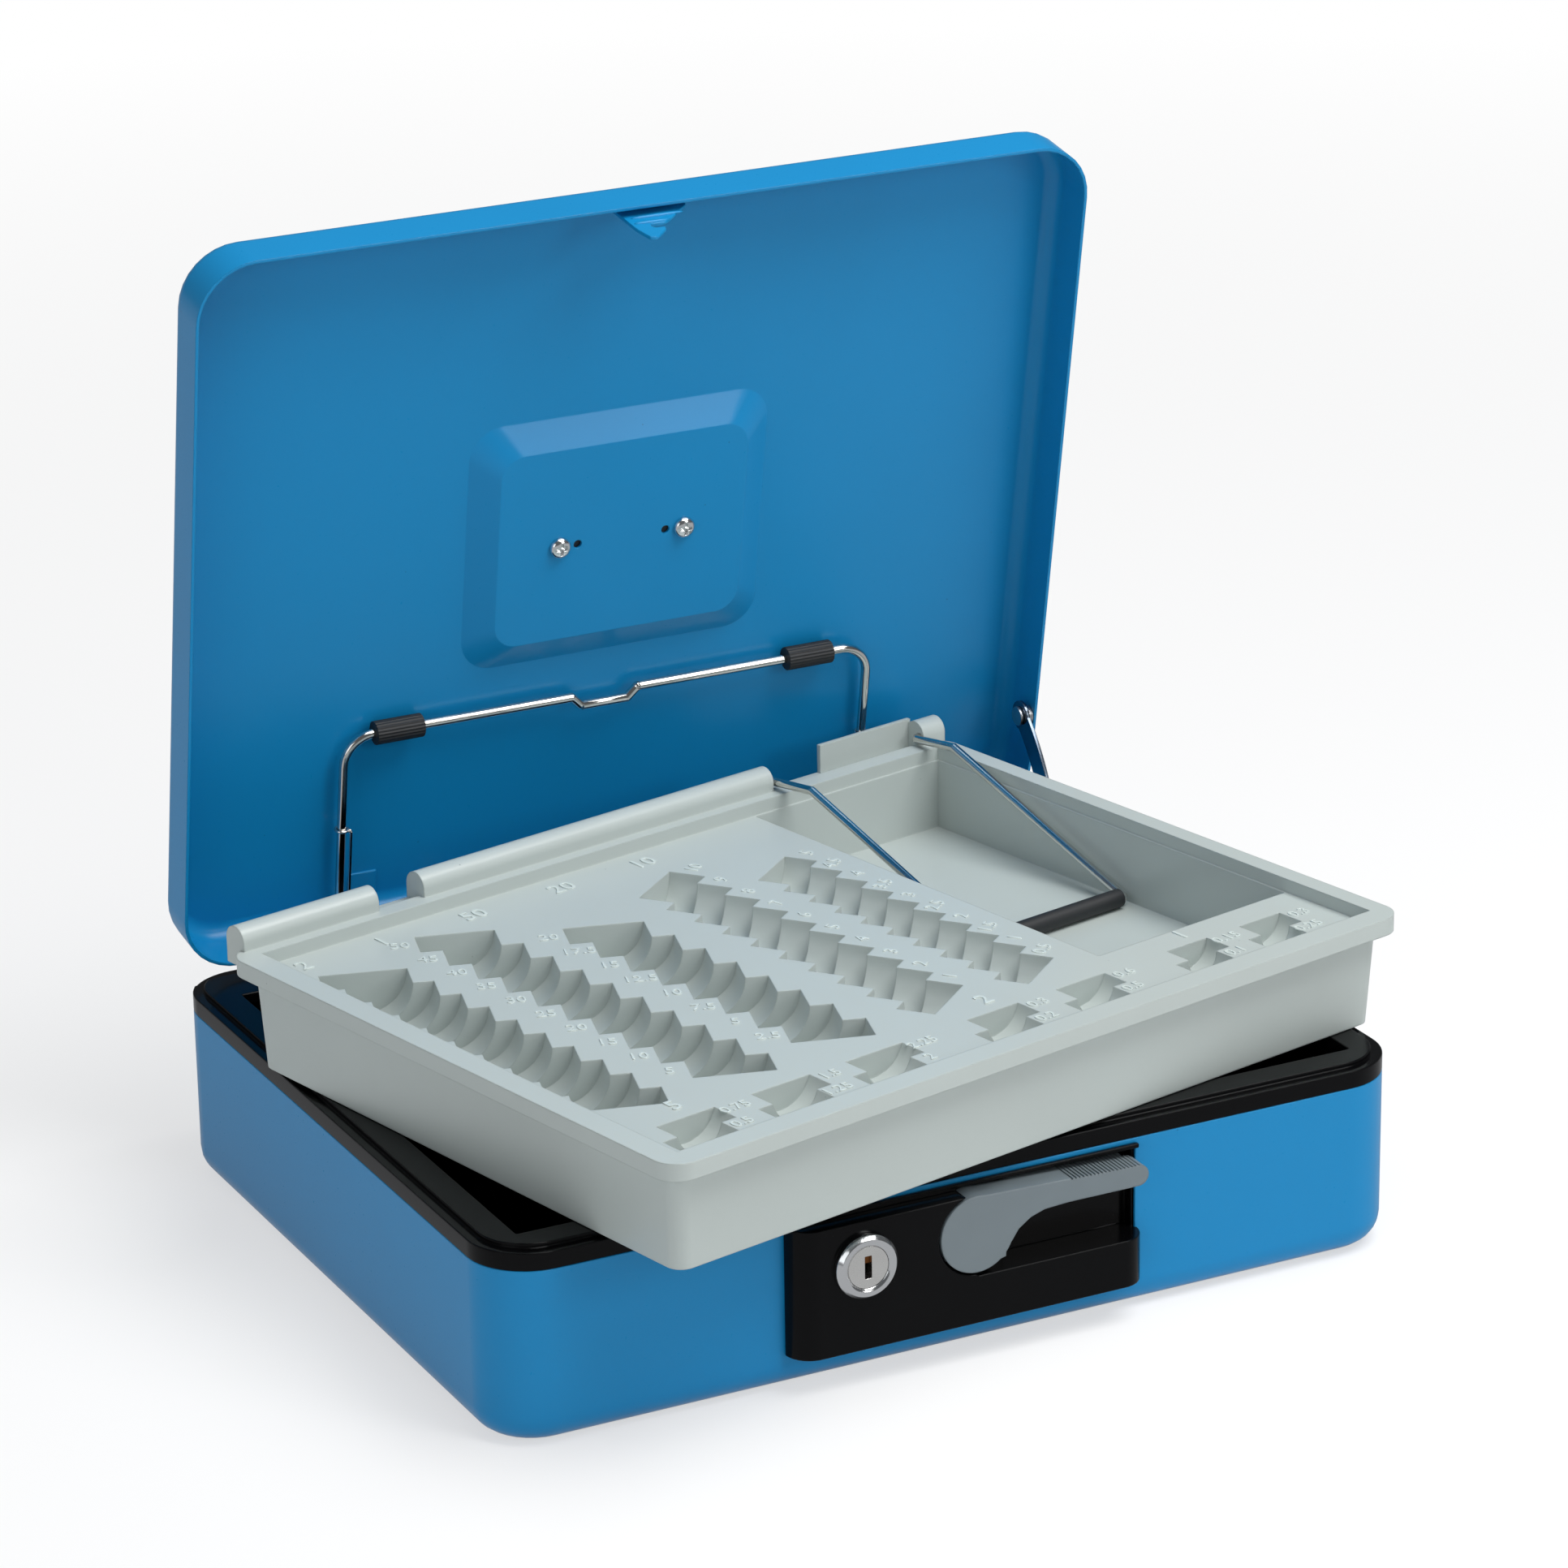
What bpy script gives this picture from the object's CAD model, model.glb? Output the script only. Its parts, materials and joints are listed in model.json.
"""Cash box with a lift-out coin tray: finishes, softened edges, pressed and moulded details."""

import json
import math

import bmesh
import bpy
from bpy.props import FloatProperty, FloatVectorProperty, PointerProperty
from mathutils import Matrix, Vector


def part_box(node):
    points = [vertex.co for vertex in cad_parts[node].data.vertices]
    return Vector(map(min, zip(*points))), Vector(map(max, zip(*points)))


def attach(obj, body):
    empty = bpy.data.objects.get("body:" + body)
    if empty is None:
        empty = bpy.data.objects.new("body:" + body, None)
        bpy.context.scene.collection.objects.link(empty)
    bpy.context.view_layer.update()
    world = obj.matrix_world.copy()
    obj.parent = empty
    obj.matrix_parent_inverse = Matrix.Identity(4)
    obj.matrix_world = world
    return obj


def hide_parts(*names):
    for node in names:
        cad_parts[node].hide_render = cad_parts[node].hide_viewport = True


bl_info = {
    "name": "Cash box",
    "version": (1, 0, 0),
    "blender": (4, 5, 0),
    "location": "3D Viewport > Sidebar > Cash box",
    "description": "Dresses a steel cash box with its paint, plastics, wires and moulded numbers",
    "category": "Object",
}

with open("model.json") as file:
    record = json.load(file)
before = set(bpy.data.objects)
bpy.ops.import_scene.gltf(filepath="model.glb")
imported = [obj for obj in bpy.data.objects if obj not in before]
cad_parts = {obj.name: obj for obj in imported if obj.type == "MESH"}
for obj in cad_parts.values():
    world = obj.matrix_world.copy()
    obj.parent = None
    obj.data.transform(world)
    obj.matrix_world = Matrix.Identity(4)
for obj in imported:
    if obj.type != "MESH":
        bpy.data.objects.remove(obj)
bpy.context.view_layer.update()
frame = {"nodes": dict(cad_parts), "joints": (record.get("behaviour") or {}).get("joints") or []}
MM = 0.001


def linear(hex_code):
    """sRGB hex to linear colour."""
    parts = [int(hex_code[i : i + 2], 16) / 255 for i in (1, 3, 5)]
    return tuple(
        c / 12.92 if c <= 0.04045 else ((c + 0.055) / 1.055) ** 2.4 for c in parts
    )


# Places, in millimetres, as in the part's own frame.
HINGE = next(j for j in frame["joints"] if j["name"] == "lid_hinge")
LID_ANGLE = math.radians(HINGE["range_deg"][1])
LID_AXIS = Vector(HINGE["pos_m"]) / MM
OPENED = (
    Matrix.Translation(LID_AXIS)
    @ Matrix.Rotation(-LID_ANGLE, 4, "X")
    @ Matrix.Translation(-LID_AXIS)
)
CLOSED = OPENED.inverted()
TRAY_TURN = math.radians(12.9)
TRAY = Matrix.Translation((0.7, -26.4, 62.2)) @ Matrix.Rotation(TRAY_TURN, 4, "Z")
TRAY_LEFT, TRAY_NEAR, TRAY_FAR = -137.05, -100.8, 100.8
DECK_Z = 31.0
BEAD_Z = 35.4
COIN_SLANT = math.radians(28)
# Place from the left, first step from the front, pitch, width, side that the numbers stand on,
# count of steps, and the value of one step.
COIN_ROWS = (
    (20.5, 171.3, 13.4, 26.6, -1, 10, 10.0),
    (59.5, 177.6, 14.35, 24.5, -1, 10, 5.0),
    (97.2, 152.7, 14.75, 25.0, -1, 8, 2.5),
    (135.8, 169.0, 13.35, 23.9, 1, 10, 1.0),
    (171.3, 155.9, 12.1, 22.0, 1, 10, 0.5),
)
# Left edge, width, highest value and value of one step of the small rows at the front.
SMALL_ROWS = (
    (16.0, 21.0, 0.75, 0.25),
    (50.5, 21.5, 1.5, 0.25),
    (85.5, 21.5, 2.25, 0.25),
    (132.0, 20.0, 0.3, 0.1),
    (167.0, 19.5, 0.6, 0.1),
    (212.0, 16.5, 0.15, 0.05),
    (242.0, 17.0, 0.3, 0.05),
)
# Plain numbers above the rows: place from the left, from the front, and the number.
HEADINGS = (
    (13.0, 192.0, "2"),
    (42.0, 192.0, "1"),
    (76.0, 191.0, "50"),
    (110.0, 191.0, "20"),
    (142.0, 191.0, "10"),
    (29.0, 36.5, "5"),
    (146.0, 36.5, "2"),
    (224.0, 35.0, "1"),
)
# Gap from a long row's edge to the middle of its numbers, and from a small row's edge.
ROW_GAP, SMALL_GAP = 5.4, 4.4
# The small rows' steps: back edge from the tray's front, depth, shift to the left, and how far
# a number stands behind the middle of its step.
SMALL_BACK, SMALL_STEP, SMALL_SHIFT, SMALL_LIFT = 28.3, 9.5, 5.3, 0.8
# Heights of the numbers, as shares of the setting, and text size for one unit of height.
ROW_SHARE, SMALL_SHARE, HEADING_SHARE, TEXT_SIZE = 0.9, 0.85, 1.25, 1.37
HEADING_RELIEF = 1.3
NUMBER_EDGE = 0.04
NUMBER_GAP = 0.02

# The dish with the lid closed: half sizes of its outer and inner edge, middle, lowest height.
DISH_OUT, DISH_IN, DISH_Y, DISH_LOW = (53.5, 44.0), (36.0, 26.0), -1.5, 73.5
# Ribs of the catch with the lid closed: half width, place along the front, height.
CATCH_RIBS = ((9.0, -1.4, 60.2), (6.0, -5.0, 56.4))
# The face that the ribs stand on, and half their depth and height.
CATCH_Y, RIB_OUT, RIB_HIGH = -116.6, 0.55, 0.8

# Sleeves of the lid's clamp: radius, length, sides, wall seen at the end, and the share of the
# radius that is left in a groove.
SLEEVE_R, SLEEVE_L, SLEEVE_SIDES, SLEEVE_WALL, GROOVE = 3.8, 16, 44, 0.9, 0.95
# In degrees around a sleeve: the grooves' pitch, and where in it a groove starts and ends.
GROOVE_PITCH, GROOVE_FROM, GROOVE_TO = 720 / SLEEVE_SIDES, 14.4, 2

# How a CAD node is cleaned and smoothed: metres within which points are one, the angle up to
# which faces count as flat, and the angles from which edges are rounded and kept sharp.
MERGE, FLAT, SHARP, SMOOTH = 2e-6, math.radians(0.6), math.radians(32), math.radians(38)

# The room, in metres.
FLOOR_SIZE, FLOOR_Z = 60, -0.0002
CAMERA_AT, CAMERA_LENS = (-0.75295, -1.49379, 0.75325), 135.95
# Azimuth, elevation and roll in degrees.
CAMERA_TURN = (26.851, 20.225, -0.884)
# Name, place, what it points at, width, power and colour.
LAMPS = (
    ("key", (0.72, -1.30, 0.72), (0, 0, 0.15), 0.42, 3.5, (1.0, 0.99, 0.97)),
    ("top", (0.42, -0.45, 1.45), (0, 0, 0.1), 1.05, 24.0, (1.0, 1.0, 1.0)),
    ("fill", (-1.5, -0.8, 0.7), (0, 0, 0.12), 1.0, 4.0, (0.95, 0.98, 1.0)),
)


# ------------------------------------------------------------------ making


def alone(piece):
    """Selects one object and nothing else."""
    bpy.ops.object.select_all(action="DESELECT")
    piece.select_set(True)
    bpy.context.view_layer.objects.active = piece


def settle(piece, name, body, material):
    """Bakes the place into the mesh, names the piece and lets it ride on its body."""
    alone(piece)
    bpy.ops.object.transform_apply(location=True, rotation=True, scale=True)
    piece.name = name
    piece.data.name = name
    piece.data.materials.clear()
    piece.data.materials.append(material)
    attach(piece, body)
    return piece


def modifier(piece, kind, **settings):
    """Adds a modifier, sets it and applies it."""
    alone(piece)
    bpy.ops.object.modifier_add(type=kind)
    added = piece.modifiers[-1]
    for key, value in settings.items():
        setattr(added, key, value)
    bpy.ops.object.modifier_apply(modifier=added.name)


def round_edges(piece, wanted, width, segments):
    """Rounds the edges that wanted() accepts."""
    alone(piece)
    bpy.ops.object.mode_set(mode="EDIT")
    bpy.ops.mesh.select_mode(type="EDGE")
    bpy.ops.mesh.select_all(action="DESELECT")
    mesh = bmesh.from_edit_mesh(piece.data)
    for edge in mesh.edges:
        if len(edge.link_faces) == 2 and wanted(edge):
            edge.select = True
    bmesh.update_edit_mesh(piece.data)
    bpy.ops.mesh.bevel(
        offset=width * MM, segments=segments, affect="EDGES", clamp_overlap=True
    )
    bpy.ops.object.mode_set(mode="OBJECT")


def dress(node, name, body, material, edge=0.0, soften=None):
    """A copy of a CAD node with merged faces and rounded edges, which stands for it."""
    source = frame["nodes"][node]
    piece = bpy.data.objects.new(name, source.data.copy())
    bpy.context.scene.collection.objects.link(piece)
    alone(piece)
    bpy.ops.mesh.customdata_custom_splitnormals_clear()
    bpy.ops.object.mode_set(mode="EDIT")
    bpy.ops.mesh.select_all(action="SELECT")
    bpy.ops.mesh.remove_doubles(threshold=MERGE)
    bpy.ops.mesh.dissolve_limited(angle_limit=FLAT)
    bpy.ops.object.mode_set(mode="OBJECT")
    if soften:
        soften(piece)
    if edge:
        modifier(
            piece,
            "BEVEL",
            width=edge * MM,
            segments=2,
            limit_method="ANGLE",
            angle_limit=SHARP,
            use_clamp_overlap=False,
            miter_outer="MITER_ARC",
        )
    alone(piece)
    bpy.ops.object.shade_smooth_by_angle(angle=SMOOTH)
    if edge or soften:
        modifier(piece, "WEIGHTED_NORMAL", keep_sharp=True)
    settle(piece, name, body, material)
    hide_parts(node)


def finish(node, material):
    """Gives a CAD node that keeps its shape its finish."""
    mesh = frame["nodes"][node].data
    mesh.materials.clear()
    mesh.materials.append(material)


# --------------------------------------------------------------- materials


def add(tree, kind, inputs=None, **settings):
    """Adds a node with its settings, values and links."""
    made = tree.nodes.new(kind)
    for key, value in settings.items():
        setattr(made, key, value)
    for key, value in (inputs or {}).items():
        if isinstance(value, bpy.types.NodeSocket):
            tree.links.new(value, made.inputs[key])
        else:
            made.inputs[key].default_value = value
    return made


def surface(
    name, colour, other, roughness, spread, grain, depth,
    metallic=0.0, stretch=(1, 1, 1), patch=40.0, round_mm=0.35, ior=1.5, fleck=None,
):
    """A procedural finish: slow colour drift, fine grain in gloss and relief, softened edges.

    grain and patch are sizes in millimetres, depth is the relief in millimetres. fleck is the
    colour, spacing in millimetres and strength of small specks.
    """
    made = bpy.data.materials.new(name)
    made.use_nodes = True
    tree = made.node_tree
    shader = tree.nodes["Principled BSDF"]
    place = add(tree, "ShaderNodeTexCoord").outputs["Object"]
    along = add(tree, "ShaderNodeMapping", {"Vector": place, "Scale": stretch}).outputs["Vector"]
    drift = add(
        tree, "ShaderNodeTexNoise", {"Vector": place, "Scale": 1 / (patch * MM), "Detail": 3.0}
    )
    fine = add(
        tree, "ShaderNodeTexNoise",
        {"Vector": along, "Scale": 1 / (grain * MM), "Detail": 4.0, "Roughness": 0.6},
    )
    # The sockets of a colour mix share their names with those for numbers, so they go by place.
    tint = add(
        tree, "ShaderNodeMix",
        {0: drift.outputs["Fac"], 6: (*linear(colour), 1), 7: (*linear(other), 1)},
        data_type="RGBA",
    )
    base = tint.outputs[2]
    if fleck:
        spots = add(
            tree, "ShaderNodeTexVoronoi", {"Vector": place, "Scale": 1 / (fleck[1] * MM)}
        )
        share = add(
            tree, "ShaderNodeMapRange",
            {"Value": spots.outputs["Distance"], "From Min": 0.010, "From Max": 0.022,
             "To Min": fleck[2], "To Max": 0.0},
        )
        dotted = add(
            tree, "ShaderNodeMix",
            {0: share.outputs["Result"], 6: base, 7: (*linear(fleck[0]), 1)},
            data_type="RGBA",
        )
        base = dotted.outputs[2]
    tree.links.new(base, shader.inputs["Base Color"])
    gloss = add(
        tree, "ShaderNodeMapRange",
        {"Value": fine.outputs["Fac"], "To Min": roughness - spread, "To Max": roughness + spread},
    )
    tree.links.new(gloss.outputs["Result"], shader.inputs["Roughness"])
    edges = add(tree, "ShaderNodeBevel", {"Radius": round_mm * MM}, samples=4)
    relief = add(
        tree, "ShaderNodeBump",
        {"Height": fine.outputs["Fac"], "Distance": depth * MM, "Strength": 1.0,
         "Normal": edges.outputs["Normal"]},
    )
    tree.links.new(relief.outputs["Normal"], shader.inputs["Normal"])
    shader.inputs["Metallic"].default_value = metallic
    if not metallic:
        shader.inputs["IOR"].default_value = ior
    return made


def make_materials(settings):
    """Every finish of the box, from the colours that a user can change."""
    blue = to_hex(settings.paint)
    tray = to_hex(settings.tray)
    return {
        # Powder coat on steel: satin, with a soft orange-peel that breaks the highlights.
        "paint": surface(
            "powder_coated_steel", blue, shade(blue, 0.95), 0.29, 0.04, 0.9, 0.004,
            patch=70, round_mm=0.6, ior=1.36, fleck=("#0B3C5C", 16.0, 0.5),
        ),
        # Injection-moulded ABS, polished tool: black with a sharp gloss.
        "gloss": surface(
            "black_abs_polished", "#040405", "#070708", 0.17, 0.05, 1.2, 0.002,
            patch=30, round_mm=0.6, ior=1.24, fleck=("#5A5A58", 4.0, 0.6),
        ),
        # The same plastic from an eroded tool: a dull black skin.
        "satin": surface(
            "black_abs_eroded", "#0A0B0C", "#101214", 0.42, 0.08, 0.5, 0.006,
            patch=25, round_mm=0.3,
        ),
        # Moulded ABS of the tray: a fine even matt with flow marks.
        "tray": surface(
            "pale_abs_moulded", tray, shade(tray, 0.97), 0.30, 0.04, 0.8, 0.003,
            patch=55, round_mm=0.7, fleck=("#4E5A56", 15.0, 0.6),
        ),
        # The same plastic where it stands up as numbers: burnished by coins, a touch paler.
        "number": surface(
            "pale_abs_burnished", shade(tray, 1.12), shade(tray, 1.08), 0.20, 0.04, 0.5, 0.001,
            patch=20, round_mm=0.06,
        ),
        # Moulded lever, eroded fine: slate with a silky sheen.
        "lever": surface(
            "slate_abs_moulded", "#727D82", "#6C767B", 0.30, 0.05, 0.45, 0.004,
            patch=14, round_mm=0.8, fleck=("#9AA4A8", 5.0, 0.5),
        ),
        # Chromed zinc die-casting of the lock's bezel.
        "chrome": surface(
            "chrome_on_zinc", "#E4E5E6", "#DADBDC", 0.16, 0.05, 0.8, 0.002,
            metallic=1.0, patch=12, round_mm=0.3,
        ),
        # Bright nickel on drawn wire, with fine marks along it.
        "wire": surface(
            "nickel_plated_wire", "#DCDAD6", "#CCCAC6", 0.12, 0.04, 0.6, 0.0006,
            metallic=1.0, patch=15, round_mm=0.2, stretch=(0.25, 1, 1),
        ),
        # Turned nickel silver of the plug, a little duller than the bezel.
        "nickel": surface(
            "nickel_silver_turned", "#EEEDEA", "#E2E0DC", 0.26, 0.07, 0.35, 0.003,
            metallic=1.0, patch=6, round_mm=0.15,
        ),
        # Brass wafers, darkened by use.
        "brass": surface(
            "brass_worn", "#8E5A32", "#5E3A20", 0.42, 0.10, 0.4, 0.006,
            metallic=1.0, patch=3, round_mm=0.1,
        ),
        # Passivated zinc plate on small steel parts.
        "zinc": surface(
            "zinc_plated_steel", "#B9BCC0", "#A4A8AD", 0.33, 0.08, 0.5, 0.006,
            metallic=1.0, patch=8, round_mm=0.2,
        ),
        # Bare spring steel of the stay, polished, blue-grey.
        "spring": surface(
            "spring_steel_polished", "#7C8896", "#5E6A78", 0.24, 0.07, 0.5, 0.005,
            metallic=1.0, patch=12, round_mm=0.3,
        ),
        # Extruded EPDM sleeves.
        "rubber": surface(
            "epdm_extruded", "#17181A", "#202225", 0.55, 0.08, 0.35, 0.012,
            patch=10, round_mm=0.25,
        ),
    }


def shade(hex_code, factor):
    """The same hex colour, lighter or darker."""
    parts = [int(hex_code[i : i + 2], 16) for i in (1, 3, 5)]
    return "#" + "".join(f"{max(0, min(255, round(c * factor))):02X}" for c in parts)


MATERIALS = {}


def material(name):
    """A finish by its name; all of them are made at the first call."""
    if not MATERIALS:
        MATERIALS.update(make_materials(bpy.context.scene.cash_box))
    return MATERIALS[name]


# -------------------------------------------------------------- properties


def to_hex(colour):
    """A colour property, held in sRGB, as hex."""
    return "#" + "".join(f"{round(c * 255):02X}" for c in colour)


class CashBoxSettings(bpy.types.PropertyGroup):
    """Sizes and colours of the cash box's details."""

    paint: FloatVectorProperty(
        name="Paint", description="Colour of the powder coat",
        subtype="COLOR_GAMMA", size=3, min=0, max=1, default=(0.07, 0.52, 0.745),
    )
    tray: FloatVectorProperty(
        name="Tray", description="Colour of the coin tray",
        subtype="COLOR_GAMMA", size=3, min=0, max=1, default=(0.71, 0.745, 0.733),
    )
    edge: FloatProperty(
        name="Edge", description="Radius of the moulded edges, in millimetres",
        default=0.35, min=0.1, max=0.6,
    )
    press: FloatProperty(
        name="Pressing", description="Softness of the dish pressed into the lid, in millimetres",
        default=2.4, min=1.0, max=4.0,
    )
    rim: FloatProperty(
        name="Rim", description="Roundness of the tray's rim, in millimetres",
        default=1.3, min=0.4, max=2.0,
    )
    number: FloatProperty(
        name="Numbers", description="Height of the moulded numbers, in millimetres",
        default=5.2, min=3.0, max=6.0,
    )
    relief: FloatProperty(
        name="Relief", description="Height of the numbers above the tray, in millimetres",
        default=0.22, min=0.08, max=0.3,
    )


# --------------------------------------------------------------- operators


class CASHBOX_OT_base(bpy.types.Operator):
    """The painted pan, the glossy collar and the tub inside"""

    bl_idname = "cashbox.base"
    bl_label = "Base"

    def execute(self, context):
        edge = context.scene.cash_box.edge
        dress("base_pan", "painted_base", "base", material("paint"), edge=0.3)
        dress("collar", "glossy_collar", "base", material("gloss"), edge=edge)
        dress("inner_tub", "black_tub", "base", material("satin"), edge=0.25)
        return {"FINISHED"}


class CASHBOX_OT_lock(bpy.types.Operator):
    """The lock's housing, bezel, plug and wafers"""

    bl_idname = "cashbox.lock"
    bl_label = "Lock"

    def execute(self, context):
        dress(
            "lock_housing", "lock_plate", "base", material("gloss"),
            edge=context.scene.cash_box.edge,
        )
        dress("lock_barrel", "lock_bezel", "base", material("chrome"), edge=0.2)
        dress("lock_plug", "lock_core", "plug", material("nickel"), edge=0.15)
        finish("lock_wafers", material("brass"))
        for node in ("lock_nut", "lock_cam", "housing_screws"):
            finish(node, material("zinc"))
        return {"FINISHED"}


class CASHBOX_OT_latch(bpy.types.Operator):
    """The lever and the latch behind it"""

    bl_idname = "cashbox.latch"
    bl_label = "Latch"

    def execute(self, context):
        dress("lever", "latch_lever", "lever", material("lever"))
        for node in ("lever_crank", "latch_bolt", "latch_bracket", "latch_screws"):
            finish(node, material("zinc"))
        finish("latch_spring", material("spring"))
        return {"FINISHED"}


class CASHBOX_OT_hinges(bpy.types.Operator):
    """The hinges' leaves, pins and rivets"""

    bl_idname = "cashbox.hinges"
    bl_label = "Hinges"

    def execute(self, context):
        dress(
            "hinge_leaves_base", "base_hinges", "base", material("paint"), edge=0.2
        )
        dress("hinge_leaves_lid", "lid_hinges", "lid", material("paint"), edge=0.2)
        dress("hinge_pins", "pins", "base", material("zinc"), edge=0.2)
        dress("hinge_rivets", "rivets", "base", material("zinc"), edge=0.2)
        return {"FINISHED"}


class CASHBOX_OT_lid(bpy.types.Operator):
    """The lid with its pressed dish, and its hook"""

    bl_idname = "cashbox.lid"
    bl_label = "Lid"

    def execute(self, context):
        press = context.scene.cash_box.press

        def dish_edge(edge):
            if edge.calc_face_angle() < math.radians(8):
                return False
            for vertex in edge.verts:
                p = CLOSED @ (vertex.co / MM)
                x, y = abs(p.x), abs(p.y - DISH_Y)
                inside = x < DISH_OUT[0] and y < DISH_OUT[1]
                outside = x > DISH_IN[0] or y > DISH_IN[1]
                if not (inside and outside and p.z > DISH_LOW):
                    return False
            return True

        dress(
            "lid_pan", "painted_lid", "lid", material("paint"),
            soften=lambda piece: round_edges(piece, dish_edge, press, 6),
        )
        dress("lid_hook", "lid_catch", "lid", material("paint"), edge=0.25)
        for across, x, z in CATCH_RIBS:
            bpy.ops.object.select_all(action="DESELECT")
            bpy.ops.mesh.primitive_uv_sphere_add(
                segments=16, ring_count=8, radius=1, location=(0, 0, 0)
            )
            rib = bpy.context.object
            rib.scale = (across * MM, RIB_OUT * MM, RIB_HIGH * MM)
            bpy.ops.object.transform_apply(scale=True)
            bpy.ops.object.shade_smooth()
            spot = OPENED @ Vector((x, CATCH_Y, z))
            rib.rotation_euler = (-LID_ANGLE, 0, 0)
            rib.location = spot * MM
            settle(rib, f"catch_rib_{round(z)}", "lid", material("paint"))
        return {"FINISHED"}


class CASHBOX_OT_stay(bpy.types.Operator):
    """The steel stay and its rivet"""

    bl_idname = "cashbox.stay"
    bl_label = "Stay"

    def execute(self, context):
        dress("stay", "lid_stay", "stay", material("spring"), edge=0.2)
        dress("stay_rivet", "stay_pin", "lid", material("zinc"), edge=0.3)
        return {"FINISHED"}


class CASHBOX_OT_handle(bpy.types.Operator):
    """The folding handle outside the lid, with its plate and screws"""

    bl_idname = "cashbox.handle"
    bl_label = "Handle"

    def execute(self, context):
        dress("handle_plate", "handle_mount", "lid", material("satin"), edge=0.4)
        dress("handle_screws", "cross_screws", "lid", material("chrome"), edge=0.1)
        dress("handle_bail", "folding_handle", "handle", material("wire"))
        return {"FINISHED"}


class CASHBOX_OT_lid_clamp(bpy.types.Operator):
    """The wire clamp in the lid, with ribbed sleeves"""

    bl_idname = "cashbox.lid_clamp"
    bl_label = "Lid clamp"

    def execute(self, context):
        dress("clamp_wire", "lid_wire", "lid_clamp", material("wire"))
        dress("clamp_springs", "wire_springs", "lid_clamp", material("wire"))
        dress(
            "clamp_brackets", "wire_brackets", "lid", material("paint"), edge=0.25
        )
        low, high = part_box("clamp_sleeves")
        radius, length = SLEEVE_R * MM, SLEEVE_L * MM
        sleeves = []
        for x in (low.x + length / 2, high.x - length / 2):
            middle = Vector((x, (low.y + high.y) / 2, (low.z + high.z) / 2))
            bpy.ops.object.select_all(action="DESELECT")
            bpy.ops.mesh.primitive_cylinder_add(
                vertices=SLEEVE_SIDES, radius=radius, depth=length,
                location=tuple(middle), rotation=(0, math.pi / 2, 0),
            )
            sleeve = bpy.context.object
            bpy.ops.object.transform_apply(location=True, rotation=True, scale=True)
            bpy.ops.object.mode_set(mode="EDIT")
            bpy.ops.mesh.select_mode(type="FACE")
            bpy.ops.mesh.select_all(action="DESELECT")
            mesh = bmesh.from_edit_mesh(sleeve.data)
            for face in mesh.faces:
                face.select = abs(face.normal.x) > 0.9
            bmesh.update_edit_mesh(sleeve.data)
            bpy.ops.mesh.inset(thickness=SLEEVE_WALL * MM)
            bpy.ops.mesh.select_mode(type="VERT")
            bpy.ops.mesh.select_all(action="DESELECT")
            mesh = bmesh.from_edit_mesh(sleeve.data)
            for vertex in mesh.verts:
                out = vertex.co - middle
                turn = math.degrees(math.atan2(out.z, out.y)) % GROOVE_PITCH
                grooved = turn < GROOVE_TO or turn > GROOVE_FROM
                if math.hypot(out.y, out.z) > radius * GROOVE and grooved:
                    vertex.select = True
            mesh.select_flush(True)
            bmesh.update_edit_mesh(sleeve.data)
            bpy.ops.transform.resize(
                value=(1, GROOVE, GROOVE), center_override=tuple(middle)
            )
            bpy.ops.object.mode_set(mode="OBJECT")
            sleeves.append(sleeve)
        alone(sleeves[0])
        sleeves[1].select_set(True)
        bpy.ops.object.join()
        bpy.ops.object.shade_smooth_by_angle(angle=math.radians(14))
        piece = settle(
            sleeves[0], "ribbed_sleeves", "lid_clamp", material("rubber")
        )
        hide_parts("clamp_sleeves")
        return {"FINISHED"}


class CASHBOX_OT_tray(bpy.types.Operator):
    """The moulded coin tray"""

    bl_idname = "cashbox.tray"
    bl_label = "Coin tray"

    def execute(self, context):
        rim = context.scene.cash_box.rim
        into = TRAY.inverted()

        def rim_edge(edge):
            ends = [into @ (vertex.co / MM) for vertex in edge.verts]
            if any(abs(p.z - BEAD_Z) > 0.05 for p in ends) or edge.calc_face_angle() < 0.5:
                return False
            middle = (ends[0] + ends[1]) / 2
            return (ends[0] - ends[1]).length > 0.8 and middle.y < TRAY_FAR - 6

        dress(
            "coin_tray", "moulded_tray", "tray", material("tray"),
            soften=lambda piece: round_edges(piece, rim_edge, rim, 4),
        )
        return {"FINISHED"}


def write_number(text, height, u, v, turn, relief):
    """One number standing out of the tray's deck."""
    bpy.ops.object.select_all(action="DESELECT")
    bpy.ops.object.text_add(location=(0, 0, 0))
    made = bpy.context.object
    made.data.body = text
    made.data.size = height * TEXT_SIZE * MM
    made.data.align_x = "CENTER"
    made.data.align_y = "CENTER"
    made.data.fill_mode = "BOTH"
    made.data.resolution_u = 2
    made.data.extrude = relief * MM
    made.data.bevel_depth = NUMBER_EDGE * MM
    made.data.bevel_resolution = 0
    bpy.ops.object.convert(target="MESH")
    spot = TRAY @ Vector((u, v, DECK_Z + NUMBER_GAP))
    made = bpy.context.object
    made.rotation_euler = (0, 0, TRAY_TURN + turn)
    made.location = spot * MM
    bpy.ops.object.transform_apply(location=True, rotation=True, scale=True)
    return made


def plain(value):
    """A number without needless zeros."""
    return f"{value:.2f}".rstrip("0").rstrip(".")


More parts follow.
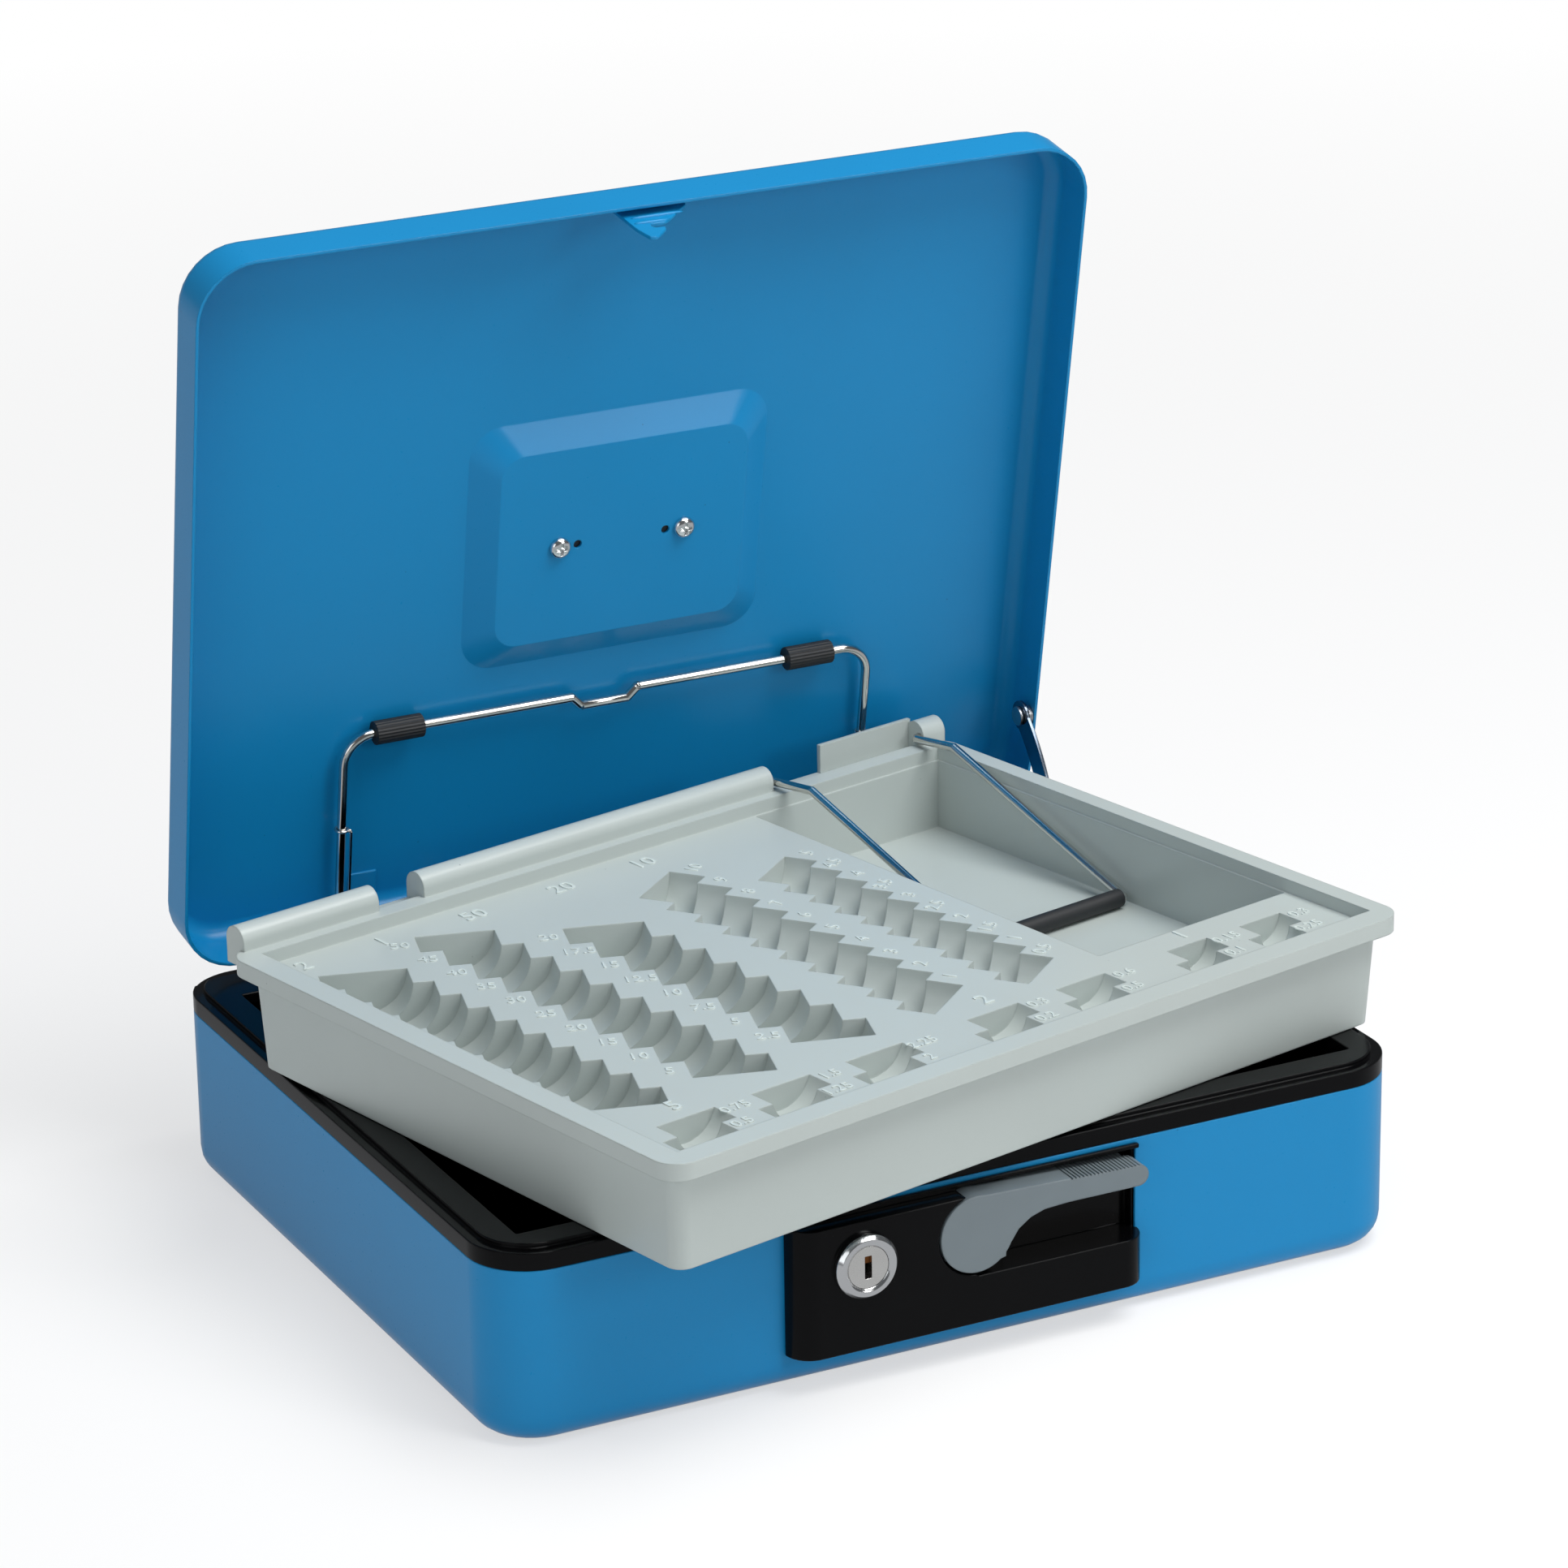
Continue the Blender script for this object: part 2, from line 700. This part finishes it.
class CASHBOX_OT_numbers(bpy.types.Operator):
    """The raised numbers beside the coin steps and above the rows"""

    bl_idname = "cashbox.numbers"
    bl_label = "Numbers"

    def execute(self, context):
        settings = context.scene.cash_box
        relief, height = settings.relief, settings.number
        made = []
        for place, first, pitch, width, side, count, unit in COIN_ROWS:
            reach = (width / 2 + ROW_GAP) * side
            turn = side * COIN_SLANT
            for i in range(count):
                u = TRAY_LEFT + place + reach * math.cos(turn)
                v = TRAY_NEAR + first - pitch * i + reach * math.sin(turn)
                text = plain(unit * (count - i))
                made.append(write_number(text, height * ROW_SHARE, u, v, turn, relief))
        for start, width, value, unit in SMALL_ROWS:
            for i in range(3):
                u = TRAY_LEFT + start + width + SMALL_GAP - SMALL_SHIFT * i
                v = TRAY_NEAR + SMALL_BACK - SMALL_STEP * (i + 0.5) + SMALL_LIFT
                text = plain(value - unit * i)
                made.append(write_number(text, height * SMALL_SHARE, u, v, 0, relief))
        for place, away, text in HEADINGS:
            u, v = TRAY_LEFT + place, TRAY_NEAR + away
            made.append(
                write_number(text, height * HEADING_SHARE, u, v, 0, relief * HEADING_RELIEF)
            )
        alone(made[0])
        for piece in made[1:]:
            piece.select_set(True)
        bpy.ops.object.join()
        settle(made[0], "raised_numbers", "tray", material("number"))
        return {"FINISHED"}


class CASHBOX_OT_tray_clamp(bpy.types.Operator):
    """The wire clamp over the note space, with its sleeve"""

    bl_idname = "cashbox.tray_clamp"
    bl_label = "Tray clamp"

    def execute(self, context):
        dress("tray_clamp_wire", "note_wire", "tray_clamp", material("wire"))
        dress(
            "tray_clamp_sleeve", "note_sleeve", "tray_clamp", material("rubber"),
            edge=0.4,
        )
        return {"FINISHED"}


class CASHBOX_OT_stage(bpy.types.Operator):
    """The pale floor, the studio light and the camera"""

    bl_idname = "cashbox.stage"
    bl_label = "Stage"

    def execute(self, context):
        bpy.ops.object.select_all(action="DESELECT")
        bpy.ops.mesh.primitive_plane_add(size=FLOOR_SIZE, location=(0, 0, FLOOR_Z))
        floor = bpy.context.object
        floor.name = "floor"
        paper = bpy.data.materials.new("white_paper")
        paper.use_nodes = True
        tree = paper.node_tree
        shader = tree.nodes["Principled BSDF"]
        shader.inputs["Base Color"].default_value = (0.86, 0.86, 0.86, 1)
        shader.inputs["Roughness"].default_value = 0.9
        # Whiter to the camera away from the shadow, and a dim studio in every reflection.
        rays = add(tree, "ShaderNodeLightPath")
        spread = add(
            tree, "ShaderNodeVectorMath",
            {0: add(tree, "ShaderNodeTexCoord").outputs["Object"]}, operation="LENGTH",
        )
        fade = add(
            tree, "ShaderNodeMapRange",
            {"Value": spread.outputs["Value"], "From Min": 0.3, "From Max": 1.6,
             "To Min": 0.6, "To Max": 1.0},
        )
        share = add(
            tree, "ShaderNodeMath",
            {0: rays.outputs["Is Camera Ray"], 1: fade.outputs["Result"]}, operation="MULTIPLY",
        )
        glow = add(tree, "ShaderNodeEmission", {"Color": (1, 1, 1, 1), "Strength": 1.0})
        dim = add(tree, "ShaderNodeEmission", {"Color": (0.95, 0.97, 1, 1), "Strength": 0.50})
        seen = add(
            tree, "ShaderNodeMixShader",
            {0: share.outputs[0], 1: shader.outputs[0], 2: glow.outputs[0]},
        )
        mixed = add(
            tree, "ShaderNodeMixShader",
            {0: rays.outputs["Is Glossy Ray"], 1: seen.outputs[0], 2: dim.outputs[0]},
        )
        tree.links.new(mixed.outputs[0], tree.nodes["Material Output"].inputs["Surface"])
        floor.data.materials.append(paper)

        world = bpy.data.worlds.new("studio")
        context.scene.world = world
        world.use_nodes = True
        tree = world.node_tree
        soft = tree.nodes["Background"]
        soft.inputs["Color"].default_value = (0.93, 0.96, 1.0, 1)
        soft.inputs["Strength"].default_value = 0.35
        white = add(tree, "ShaderNodeBackground", {"Color": (1, 1, 1, 1), "Strength": 1.0})
        dim = add(
            tree, "ShaderNodeBackground", {"Color": (0.92, 0.96, 1, 1), "Strength": 0.12}
        )
        rays = add(tree, "ShaderNodeLightPath")
        glossy = add(
            tree, "ShaderNodeMixShader",
            {0: rays.outputs["Is Glossy Ray"], 1: soft.outputs[0], 2: dim.outputs[0]},
        )
        mixed = add(
            tree, "ShaderNodeMixShader",
            {0: rays.outputs["Is Camera Ray"], 1: glossy.outputs[0], 2: white.outputs[0]},
        )
        tree.links.new(mixed.outputs[0], tree.nodes["World Output"].inputs["Surface"])

        for name, spot, aim, width, power, colour in LAMPS:
            bpy.ops.object.select_all(action="DESELECT")
            bpy.ops.object.light_add(type="AREA", location=spot)
            lamp = bpy.context.object
            lamp.name = name
            lamp.data.size = width
            lamp.data.energy = power
            lamp.data.color = colour
            away = Vector(aim) - Vector(spot)
            lamp.rotation_euler = away.to_track_quat("-Z", "Y").to_euler()

        bpy.ops.object.camera_add(location=CAMERA_AT)
        camera = bpy.context.object
        azimuth, elevation, roll = (math.radians(angle) for angle in CAMERA_TURN)
        turned = (
            Matrix.Rotation(-azimuth, 3, "Z")
            @ Matrix.Rotation(math.pi / 2 - elevation, 3, "X")
            @ Matrix.Rotation(roll, 3, "Z")
        )
        camera.rotation_euler = turned.to_euler()
        camera.data.sensor_width = 36
        camera.data.lens = CAMERA_LENS
        camera.data.clip_end = 100
        context.scene.camera = camera
        context.scene.view_settings.view_transform = "Standard"
        return {"FINISHED"}


class CASHBOX_PT_panel(bpy.types.Panel):
    """Lists the pieces and their settings"""

    bl_idname = "CASHBOX_PT_panel"
    bl_label = "Cash box"
    bl_space_type = "VIEW_3D"
    bl_region_type = "UI"
    bl_category = "Cash box"

    def draw(self, context):
        for name in ("paint", "tray", "edge", "press", "rim", "number", "relief"):
            self.layout.prop(context.scene.cash_box, name)
        for operator in OPERATORS:
            self.layout.operator(operator.bl_idname)


OPERATORS = (
    CASHBOX_OT_base,
    CASHBOX_OT_lock,
    CASHBOX_OT_latch,
    CASHBOX_OT_hinges,
    CASHBOX_OT_lid,
    CASHBOX_OT_stay,
    CASHBOX_OT_handle,
    CASHBOX_OT_lid_clamp,
    CASHBOX_OT_tray,
    CASHBOX_OT_numbers,
    CASHBOX_OT_tray_clamp,
    CASHBOX_OT_stage,
)
CLASSES = (CashBoxSettings, *OPERATORS, CASHBOX_PT_panel)


def register():
    for cls in CLASSES:
        bpy.utils.register_class(cls)
    bpy.types.Scene.cash_box = PointerProperty(type=CashBoxSettings)


def unregister():
    del bpy.types.Scene.cash_box
    for cls in reversed(CLASSES):
        bpy.utils.unregister_class(cls)


def main():
    register()
    bpy.ops.cashbox.base()
    bpy.ops.cashbox.lock()
    bpy.ops.cashbox.latch()
    bpy.ops.cashbox.hinges()
    bpy.ops.cashbox.lid()
    bpy.ops.cashbox.stay()
    bpy.ops.cashbox.handle()
    bpy.ops.cashbox.lid_clamp()
    bpy.ops.cashbox.tray()
    bpy.ops.cashbox.numbers()
    bpy.ops.cashbox.tray_clamp()
    bpy.ops.cashbox.stage()


if __name__ == "__main__":
    main()
